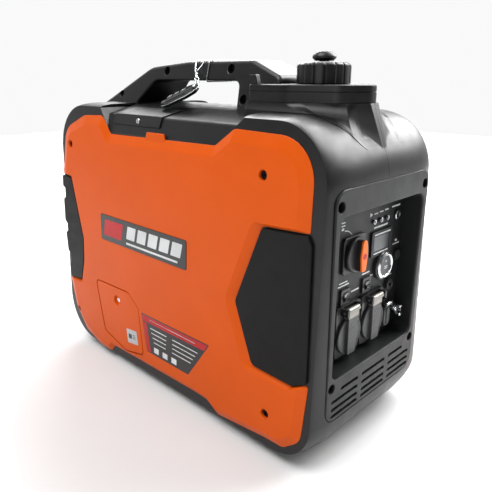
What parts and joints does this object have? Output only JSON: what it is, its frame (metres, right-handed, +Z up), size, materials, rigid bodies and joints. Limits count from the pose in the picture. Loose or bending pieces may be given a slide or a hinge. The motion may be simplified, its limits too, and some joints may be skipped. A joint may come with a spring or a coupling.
{
  "type": "portable generator",
  "caption": "Suitcase inverter generator with orange side covers, carry handle, recessed control panel, socket lids, turning fuel cap and recoil pull grip.",
  "frame": {"origin": "middle of the footprint at floor level, under the rubber feet", "axes": "+X towards the control panel end, along the length; -Y towards the side with the badge and service cover; +Z up"},
  "size_m": [0.586, 0.2772, 0.507],
  "materials": {
    "casing_plastic": "semi-gloss black moulded plastic with fine grain",
    "orange_cover": "orange moulded plastic with a satin skin",
    "insert_plastic": "black textured plastic",
    "panel_plastic": "dark grey spark-eroded plastic",
    "socket_plastic": "black engineering plastic",
    "rubber_parts": "black rubber",
    "bright_steel": "bright plated steel",
    "dark_steel": "black-oxide steel screws",
    "button_face": "dark grey satin plastic",
    "lamp_lens": "clear lamp lens",
    "fob_gloss": "glossy black plastic",
    "sheet_steel": "plain sheet steel",
    "cast_aluminium": "sand-cast aluminium",
    "ceramic": "white glazed ceramic",
    "copper_winding": "varnished copper winding",
    "rotor_iron": "machined cast iron",
    "tank_plastic": "blow-moulded plastic"
  },
  "bodies": {
    "casing": {"base_tray": "casing_plastic", "rubber_feet": "rubber_parts", "near_shell": "casing_plastic", "far_shell": "casing_plastic", "near_cover": "orange_cover", "far_cover": "orange_cover", "near_front_insert": "insert_plastic", "near_rear_insert": "insert_plastic", "far_front_insert": "insert_plastic", "far_rear_insert": "insert_plastic", "face_frame": "panel_plastic", "control_panel": "panel_plastic", "rear_cover": "casing_plastic", "exhaust_outlet": "sheet_steel", "near_handle_half": "casing_plastic", "far_handle_half": "casing_plastic", "case_screws": "dark_steel", "tank_collar": "casing_plastic", "plug_hatch": "casing_plastic", "slotted_screws": "bright_steel", "service_cover": "orange_cover", "badge_plate": "insert_plastic", "switch_base": "socket_plastic", "meter": "panel_plastic", "indicator_lamps": "lamp_lens", "start_bezel": "bright_steel", "breaker_bodies": "socket_plastic", "usb_cover": "rubber_parts", "left_socket": "socket_plastic", "right_socket": "socket_plastic", "lid_hinge_pins": "bright_steel", "dc_outlet": "socket_plastic", "ground_stud": "bright_steel", "fuel_tank": "tank_plastic", "engine_block": "cast_aluminium", "spark_plug": "ceramic", "carburettor": "cast_aluminium", "air_filter_box": "casing_plastic", "muffler": "sheet_steel", "stator": "copper_winding", "inverter_module": "cast_aluminium", "starter_battery": "tank_plastic", "recoil_housing": "casing_plastic", "engine_mounts": "rubber_parts", "key_loops": "bright_steel"},
    "cap": {"fuel_cap": "casing_plastic"},
    "vent": {"vent_knob": "casing_plastic"},
    "dial": {"switch_dial": "socket_plastic"},
    "start": {"start_button": "button_face"},
    "left_rocker": {"left_breaker_rocker": "socket_plastic"},
    "right_rocker": {"right_breaker_rocker": "socket_plastic"},
    "reset": {"reset_button": "socket_plastic"},
    "left_flap": {"left_lid": "socket_plastic"},
    "right_flap": {"right_lid": "socket_plastic"},
    "dc_flap": {"dc_lid": "socket_plastic"},
    "ground_nut": {"wing_nut": "bright_steel"},
    "rotor": {"rotor_fan": "rotor_iron"},
    "recoil": {"recoil_grip": "rubber_parts"},
    "keys": {"key_chain": "bright_steel", "remote_fob": "fob_gloss"}
  },
  "joints": [
    {"name": "cap_turn", "type": "hinge", "parent": "casing", "child": "cap", "pos_m": [0.19, 0, 0.48], "axis": [0, 0, 1], "range_deg": [0, 120]},
    {"name": "vent_turn", "type": "hinge", "parent": "cap", "child": "vent", "pos_m": [0.19, 0, 0.5], "axis": [0, 0, 1], "range_deg": [0, 180]},
    {"name": "switch_turn", "type": "hinge", "parent": "casing", "child": "dial", "pos_m": [0.274, -0.025, 0.266], "axis": [1, 0, 0], "range_deg": [0, 90]},
    {"name": "start_press", "type": "slide", "parent": "casing", "child": "start", "axis": [-1, 0, 0], "range_m": [0, 0.0025], "stiffness_N_per_m": 300, "springref_m": -0.001},
    {"name": "left_breaker_tilt", "type": "hinge", "parent": "casing", "child": "left_rocker", "pos_m": [0.2635, -0.038, 0.2115], "axis": [0, -1, 0], "range_deg": [0, 28]},
    {"name": "right_breaker_tilt", "type": "hinge", "parent": "casing", "child": "right_rocker", "pos_m": [0.2635, 0.011, 0.214], "axis": [0, -1, 0], "range_deg": [0, 28]},
    {"name": "reset_press", "type": "slide", "parent": "casing", "child": "reset", "axis": [-1, 0, 0], "range_m": [0, 0.002], "stiffness_N_per_m": 300, "springref_m": -0.001},
    {"name": "left_lid_swing", "type": "hinge", "parent": "casing", "child": "left_flap", "pos_m": [0.275, -0.032, 0.195], "axis": [0, -1, 0], "range_deg": [0, 100], "stiffness_Nm_per_rad": 0.004, "springref_deg": -22.92},
    {"name": "right_lid_swing", "type": "hinge", "parent": "casing", "child": "right_flap", "pos_m": [0.275, 0.025, 0.195], "axis": [0, -1, 0], "range_deg": [0, 100], "stiffness_Nm_per_rad": 0.004, "springref_deg": -22.92},
    {"name": "dc_lid_swing", "type": "hinge", "parent": "casing", "child": "dc_flap", "pos_m": [0.272, 0.063, 0.172], "axis": [0, -1, 0], "range_deg": [0, 95], "stiffness_Nm_per_rad": 0.0006, "springref_deg": -22.92},
    {"name": "ground_nut_turn", "type": "hinge", "parent": "casing", "child": "ground_nut", "pos_m": [0.274, 0.0835, 0.158], "axis": [1, 0, 0], "continuous": true},
    {"name": "rotor_spin", "type": "hinge", "parent": "casing", "child": "rotor", "pos_m": [0.112, 0, 0.15], "axis": [1, 0, 0], "continuous": true},
    {"name": "recoil_pull", "type": "slide", "parent": "casing", "child": "recoil", "axis": [0, 1, 0], "range_m": [0, 0.18], "stiffness_N_per_m": 15, "springref_m": -0.1},
    {"name": "keys_swing", "type": "hinge", "parent": "casing", "child": "keys", "pos_m": [-0.009, -0.0385, 0.485], "axis": [-1, 0, 0], "range_deg": [0, 55]}
  ]
}
